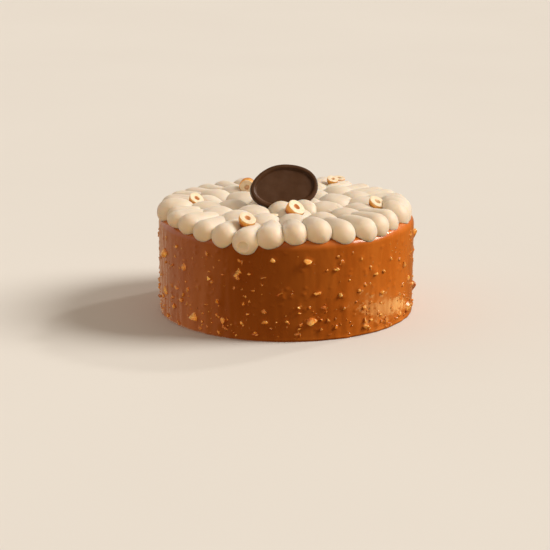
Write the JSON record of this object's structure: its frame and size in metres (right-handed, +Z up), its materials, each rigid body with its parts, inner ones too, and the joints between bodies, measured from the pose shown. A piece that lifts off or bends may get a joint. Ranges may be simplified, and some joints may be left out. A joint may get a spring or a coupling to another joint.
{
  "type": "chocolate hazelnut cake",
  "caption": "Round uncut layer cake in chocolate praline glaze with chopped nuts, topped with rings of piped cream, hazelnut halves and an upright oval chocolate plaque.",
  "frame": {"origin": "centre of the flat underside of the cake, on the surface that it stands on", "axes": "+Z up through the cake; -Y towards the front, the side that the plaque faces; +X to the right seen from the front"},
  "size_m": [0.2051, 0.2049, 0.1155],
  "materials": {
    "praline_glaze": "glossy milk chocolate praline glaze with chopped nuts",
    "vanilla_cream": "soft satin whipped cream, ivory",
    "dark_chocolate": "satin dark chocolate",
    "toasted_hazelnut": "matte toasted nut flesh with golden brown skin"
  },
  "bodies": {
    "root": {"glazed_cake": "praline_glaze", "piped_cream": "vanilla_cream", "chocolate_plaque": "dark_chocolate", "hazelnut_1": "toasted_hazelnut", "hazelnut_2": "toasted_hazelnut", "hazelnut_3": "toasted_hazelnut", "hazelnut_4": "toasted_hazelnut", "hazelnut_5": "toasted_hazelnut", "hazelnut_6": "toasted_hazelnut", "hazelnut_7": "toasted_hazelnut", "hazelnut_chip": "toasted_hazelnut"}
  },
  "joints": []
}
